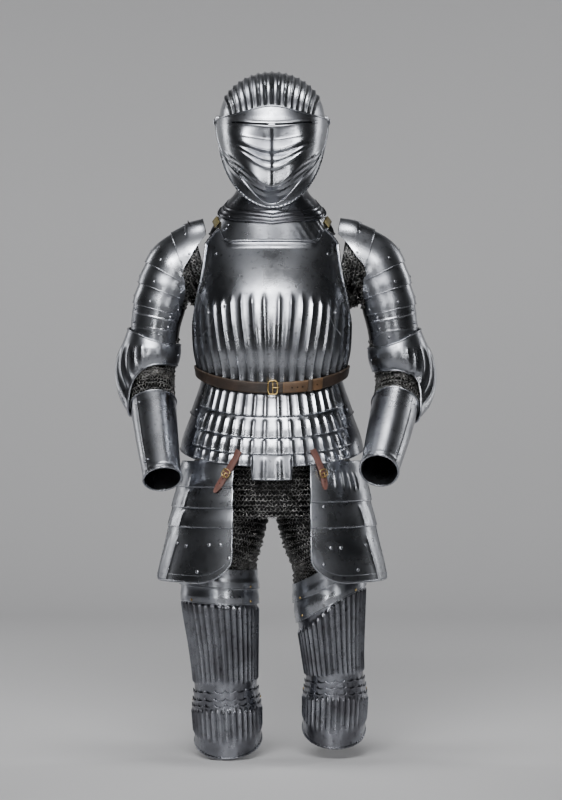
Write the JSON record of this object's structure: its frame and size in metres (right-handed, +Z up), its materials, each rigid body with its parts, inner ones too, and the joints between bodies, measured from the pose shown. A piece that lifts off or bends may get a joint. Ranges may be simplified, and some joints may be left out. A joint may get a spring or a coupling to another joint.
{
  "type": "plate armour",
  "caption": "Fluted steel plate armour with a close helmet, arm and leg plates to the knee, tassets and mail, shaped as worn but empty.",
  "frame": {"origin": "where the wearer's shoulders carry the armour, at the foot of the neck, midway between front and back", "axes": "+Z up, -Y the way the armour faces, +X the armour's own left"},
  "size_m": [0.6376, 0.3623, 1.3603],
  "materials": {
    "steel": "polished, lightly scratched",
    "dark_steel": "darker worn polish",
    "mail": "linked iron rings",
    "leather": "worn leather",
    "brass": "aged"
  },
  "bodies": {
    "armour": {"helmet_skull": "steel", "visor_pivot_right": "steel", "visor_pivot_left": "steel", "gorget_front": "steel", "gorget_back": "steel", "breastplate": "steel", "fauld_lame_1": "steel", "fauld_lame_2": "steel", "fauld_lame_3": "steel", "fauld_lame_4": "steel", "pauldron_right_1": "steel", "pauldron_right_2": "steel", "pauldron_right_3": "steel", "pauldron_right_4": "steel", "upper_cannon_right": "steel", "couter_right": "steel", "forearm_cannon_right": "steel", "thigh_lame_right_1": "steel", "thigh_lame_right_2": "steel", "pauldron_left_1": "steel", "pauldron_left_2": "steel", "pauldron_left_3": "steel", "pauldron_left_4": "steel", "upper_cannon_left": "steel", "couter_left": "steel", "forearm_cannon_left": "steel", "thigh_lame_left_1": "steel", "thigh_lame_left_2": "steel", "tasset_right_1": "steel", "tasset_right_2": "steel", "tasset_right_3": "steel", "tasset_right_4": "steel", "tasset_left_1": "steel", "tasset_left_2": "steel", "tasset_left_3": "steel", "neck_collar": "dark_steel", "backplate": "dark_steel", "culet_lame_1": "dark_steel", "culet_lame_2": "dark_steel", "cuisse_right": "dark_steel", "cuisse_left": "dark_steel", "shoulder_strap_right": "leather", "shoulder_strap_left": "leather", "waist_belt": "leather", "tasset_strap_right": "leather", "tasset_strap_left": "leather", "belt_buckle": "brass", "tasset_buckle_right": "brass", "tasset_buckle_left": "brass", "mail_hose": "mail", "mail_sleeve_right": "mail", "mail_sleeve_left": "mail"},
    "bevor": {"bevor": "steel"},
    "visor": {"visor": "steel"},
    "knee_lame_right_1_body": {"knee_lame_right_1": "dark_steel"},
    "knee_lame_right_2_body": {"knee_lame_right_2": "dark_steel"},
    "poleyn_right_body": {"poleyn_right": "dark_steel"},
    "knee_lame_left_1_body": {"knee_lame_left_1": "dark_steel"},
    "knee_lame_left_2_body": {"knee_lame_left_2": "dark_steel"},
    "poleyn_left_body": {"poleyn_left": "dark_steel"}
  },
  "joints": [
    {"name": "bevor_hinge", "type": "hinge", "parent": "armour", "child": "bevor", "pos_m": [0, 0, 0.206], "axis": [-1, 0, 0], "range_deg": [0, 28]},
    {"name": "visor_hinge", "type": "hinge", "parent": "bevor", "child": "visor", "pos_m": [0, 0, 0.206], "axis": [-1, 0, 0], "range_deg": [0, 50]},
    {"name": "knee_right_1", "type": "hinge", "parent": "armour", "child": "knee_lame_right_1_body", "pos_m": [-0.091, 0, -0.943], "axis": [1, 0, 0], "range_deg": [0, 8]},
    {"name": "knee_right_2", "type": "hinge", "parent": "knee_lame_right_1_body", "child": "knee_lame_right_2_body", "pos_m": [-0.091, 0, -0.959], "axis": [1, 0, 0], "range_deg": [0, 8]},
    {"name": "knee_right_3", "type": "hinge", "parent": "knee_lame_right_2_body", "child": "poleyn_right_body", "pos_m": [-0.091, 0, -0.971], "axis": [1, 0, 0], "range_deg": [0, 8]},
    {"name": "knee_left_1", "type": "hinge", "parent": "armour", "child": "knee_lame_left_1_body", "pos_m": [0.126, 0, -0.919], "axis": [1, 0, 0], "range_deg": [0, 8]},
    {"name": "knee_left_2", "type": "hinge", "parent": "knee_lame_left_1_body", "child": "knee_lame_left_2_body", "pos_m": [0.126, 0, -0.933], "axis": [1, 0, 0], "range_deg": [0, 8]},
    {"name": "knee_left_3", "type": "hinge", "parent": "knee_lame_left_2_body", "child": "poleyn_left_body", "pos_m": [0.126, 0, -0.947], "axis": [1, 0, 0], "range_deg": [0, 8]}
  ],
  "couplings": [
    {"joint": "knee_right_2", "follows": "knee_right_1", "ratio": 1},
    {"joint": "knee_right_3", "follows": "knee_right_1", "ratio": 1},
    {"joint": "knee_left_2", "follows": "knee_left_1", "ratio": 1},
    {"joint": "knee_left_3", "follows": "knee_left_1", "ratio": 1}
  ]
}
